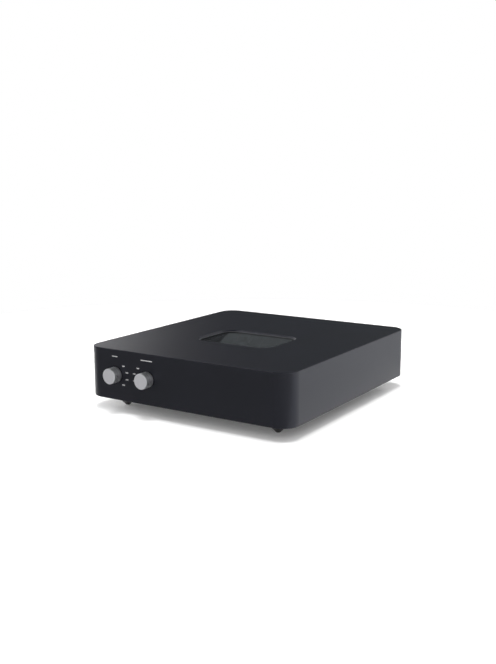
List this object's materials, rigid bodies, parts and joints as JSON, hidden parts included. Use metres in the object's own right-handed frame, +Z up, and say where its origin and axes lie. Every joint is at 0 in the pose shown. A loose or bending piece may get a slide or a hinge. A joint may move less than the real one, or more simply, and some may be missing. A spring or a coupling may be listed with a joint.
{
  "type": "phono preamplifier",
  "caption": "Low rectangular phono preamplifier with rounded corners, two front selector knobs, a glazed top window over the tubes, tapered feet and rear sockets.",
  "frame": {"origin": "on the floor, under the middle of the whole object", "axes": "+X to the right seen from the front, +Y to the rear, +Z up"},
  "size_m": [0.36, 0.422, 0.097],
  "materials": {
    "case_anodised": "satin black anodised",
    "panel_anodised": "satin black anodised",
    "base_painted": "black powder coat",
    "smoked_glass": "polished, smoked",
    "seal_rubber": "matte",
    "black_screws": "blackened",
    "zinc_steel": "bright zinc",
    "foot_anodised": "satin black anodised",
    "knob_aluminium": "bead-blasted, clear anodised",
    "shaft_steel": "turned",
    "rotor_phenolic": "laminate",
    "wafer_phenolic": "laminate",
    "contact_brass": "silver-flashed",
    "die_cast": "die cast",
    "nickel_nuts": "nickel plated",
    "tube_glass": "clear",
    "electrode_nickel": "carbonised nickel",
    "socket_ceramic": "unglazed",
    "circuit_board": "solder mask",
    "standoff_brass": "turned",
    "film_capacitor": "wrapped film",
    "capacitor_sleeve": "shrink sleeve",
    "heat_sink_black": "black anodised",
    "regulator_resin": "moulded",
    "mu_metal": "drawn",
    "ring_winding": "enamelled wire under film",
    "inlet_plastic": "moulded",
    "blade_nickel": "nickel plated",
    "fuse_glass": "clear with metal caps",
    "rocker_plastic": "moulded",
    "gold_plate": "gold plated",
    "jack_ptfe": "turned",
    "post_nickel": "nickel plated",
    "wire_sleeve": "extruded"
  },
  "bodies": {
    "case": {"chassis_shell": "case_anodised", "base_plate": "base_painted", "rear_panel": "panel_anodised", "window_glass": "smoked_glass", "window_gasket": "seal_rubber", "window_frame": "base_painted", "case_screws": "black_screws", "pan_screws": "zinc_steel", "foot_front_left": "foot_anodised", "foot_front_right": "foot_anodised", "foot_rear_left": "foot_anodised", "foot_rear_right": "foot_anodised", "foot_pads": "seal_rubber", "foot_screws": "zinc_steel", "gain_index_housing": "die_cast", "load_index_housing": "die_cast", "selector_wafers": "wafer_phenolic", "selector_contacts": "contact_brass", "selector_tie_rods": "zinc_steel", "panel_nuts": "nickel_nuts", "tube_glass_1": "tube_glass", "tube_glass_2": "tube_glass", "tube_glass_3": "tube_glass", "tube_glass_4": "tube_glass", "tube_electrodes": "electrode_nickel", "tube_sockets": "socket_ceramic", "main_board": "circuit_board", "power_board": "circuit_board", "board_standoffs": "standoff_brass", "coupling_capacitors": "film_capacitor", "filter_capacitors": "capacitor_sleeve", "heat_sinks": "heat_sink_black", "regulators": "regulator_resin", "step_up_transformers": "mu_metal", "mains_transformer": "ring_winding", "transformer_pads": "seal_rubber", "transformer_clamp": "zinc_steel", "transformer_bolt": "zinc_steel", "power_inlet": "inlet_plastic", "inlet_blades": "blade_nickel", "switch_housing": "inlet_plastic", "jack_shells": "gold_plate", "jack_insulators": "jack_ptfe", "jack_contacts": "gold_plate", "ground_post": "post_nickel", "wiring": "wire_sleeve"},
    "gain_control": {"gain_knob": "knob_aluminium", "gain_grub_screw": "black_screws", "gain_shaft": "shaft_steel", "gain_rotors": "rotor_phenolic"},
    "load_control": {"load_knob": "knob_aluminium", "load_grub_screw": "black_screws", "load_shaft": "shaft_steel", "load_rotors": "rotor_phenolic"},
    "rocker": {"power_rocker": "rocker_plastic"},
    "drawer": {"fuse_drawer": "inlet_plastic", "fuse": "fuse_glass"},
    "ground_ring": {"ground_washer": "post_nickel"},
    "thumb_nut": {"ground_nut": "post_nickel"}
  },
  "joints": [
    {"name": "gain_turn", "type": "hinge", "parent": "case", "child": "gain_control", "pos_m": [-0.1225, -0.2, 0.0585], "axis": [0, 1, 0], "range_deg": [-30, 60]},
    {"name": "load_turn", "type": "hinge", "parent": "case", "child": "load_control", "pos_m": [-0.062, -0.2, 0.0585], "axis": [0, 1, 0], "range_deg": [-60, 30]},
    {"name": "power_rock", "type": "hinge", "parent": "case", "child": "rocker", "pos_m": [0.074, 0.1922, 0.0585], "axis": [1, 0, 0], "range_deg": [0, 18]},
    {"name": "fuse_drawer_slide", "type": "slide", "parent": "case", "child": "drawer", "axis": [0, 1, 0], "range_m": [0, 0.02]},
    {"name": "ground_nut_travel", "type": "slide", "parent": "case", "child": "ground_ring", "axis": [0, 1, 0], "range_m": [0, 0.00281]},
    {"name": "ground_nut_turn", "type": "hinge", "parent": "ground_ring", "child": "thumb_nut", "pos_m": [-0.08, 0.2, 0.0585], "axis": [0, 1, 0], "range_deg": [0, 1440]}
  ],
  "couplings": [
    {"joint": "ground_nut_travel", "follows": "ground_nut_turn", "m_per_rad": 0.00011141}
  ]
}
